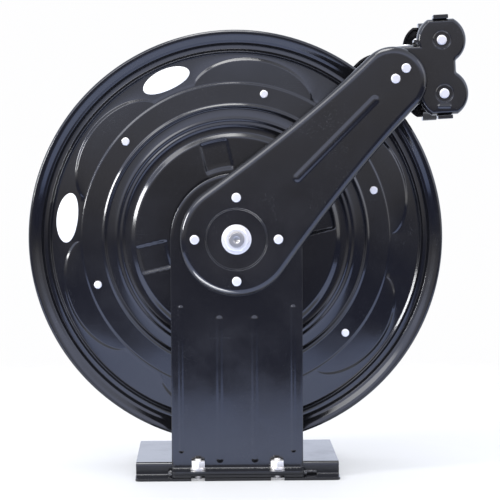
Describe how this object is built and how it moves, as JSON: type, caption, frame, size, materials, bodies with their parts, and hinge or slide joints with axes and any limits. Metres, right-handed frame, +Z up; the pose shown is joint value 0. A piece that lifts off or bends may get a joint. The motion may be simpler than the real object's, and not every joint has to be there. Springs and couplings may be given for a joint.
{
  "type": "hose reel",
  "caption": "Spring-rewind pressure washer hose reel on a base plate with twin pedestals, a wide flanged spool and a four-way roller guide on raised arms.",
  "frame": {"origin": "centre of the base plate's top face, in the spool's mid plane", "axes": "+Z up, +Y towards the rear side with the water inlet, along the spool's axis, +X towards the roller guide"},
  "size_m": [0.5051, 0.2537, 0.5257],
  "materials": {
    "black_paint": "gloss black powder coat",
    "zinc": "bright zinc plate",
    "spring_steel": "blued and oiled",
    "brass": "machined",
    "bronze": "sintered",
    "nylon": "moulded"
  },
  "bodies": {
    "stand": {"base_plate": "black_paint", "foot_stud_1": "zinc", "foot_stud_2": "zinc", "foot_stud_3": "zinc", "foot_stud_4": "zinc", "front_arm": "black_paint", "front_arm_bolt_1": "zinc", "front_arm_bolt_2": "zinc", "front_guide_plate": "black_paint", "front_hub_bolt_1": "zinc", "front_hub_bolt_2": "zinc", "front_hub_bolt_3": "zinc", "front_hub_bolt_4": "zinc", "front_hub_nut": "zinc", "front_pedestal": "black_paint", "front_upright_roller_pin": "zinc", "inlet_elbow": "brass", "lower_roller_pin": "zinc", "lower_tie_bar": "black_paint", "main_shaft": "zinc", "pawl_pin": "zinc", "pawl_spring": "spring_steel", "rear_arm": "black_paint", "rear_arm_bolt_1": "zinc", "rear_arm_bolt_2": "zinc", "rear_guide_plate": "black_paint", "rear_hub_bolt_1": "zinc", "rear_hub_bolt_2": "zinc", "rear_hub_bolt_3": "zinc", "rear_hub_bolt_4": "zinc", "rear_hub_nut": "zinc", "rear_pedestal": "black_paint", "rear_upright_roller_pin": "zinc", "roller_tie_bar": "black_paint", "spring_arbor": "zinc", "upper_roller_pin": "zinc"},
    "spool": {"drum_core": "black_paint", "front_bush": "bronze", "front_disc": "black_paint", "front_hub": "black_paint", "outlet_pipe": "brass", "power_spring": "spring_steel", "ratchet_wheel": "zinc", "rear_bush": "bronze", "rear_disc": "black_paint", "rear_hub": "black_paint", "spool_bolt_1": "zinc", "spool_bolt_2": "zinc", "spool_bolt_3": "zinc", "spool_bolt_4": "zinc", "spool_bolt_5": "zinc", "spool_bolt_6": "zinc", "spring_case": "spring_steel", "spring_cover": "spring_steel", "swivel_housing": "brass"},
    "pawl": {"pawl": "zinc"},
    "upper_roller": {"upper_roller": "nylon"},
    "lower_roller": {"lower_roller": "nylon"},
    "front_upright_roller": {"front_upright_roller": "nylon"},
    "rear_upright_roller": {"rear_upright_roller": "nylon"}
  },
  "joints": [
    {"name": "spool_turn", "type": "hinge", "parent": "stand", "child": "spool", "pos_m": [0, 0, 0.255], "axis": [0, -1, 0], "continuous": true},
    {"name": "pawl_swing", "type": "hinge", "parent": "stand", "child": "pawl", "pos_m": [0.05091, 0.061, 0.20409], "axis": [0, -1, 0], "range_deg": [-16, 10]},
    {"name": "upper_roller_turn", "type": "hinge", "parent": "stand", "child": "upper_roller", "pos_m": [0.23389, 0, 0.47949], "axis": [0, -1, 0], "continuous": true},
    {"name": "lower_roller_turn", "type": "hinge", "parent": "stand", "child": "lower_roller", "pos_m": [0.23689, 0, 0.41909], "axis": [0, -1, 0], "continuous": true},
    {"name": "front_upright_roller_turn", "type": "hinge", "parent": "stand", "child": "front_upright_roller", "pos_m": [0.20939, -0.0723, 0.44929], "axis": [0, 0, 1], "continuous": true},
    {"name": "rear_upright_roller_turn", "type": "hinge", "parent": "stand", "child": "rear_upright_roller", "pos_m": [0.20939, 0.0723, 0.44929], "axis": [0, 0, 1], "continuous": true}
  ]
}
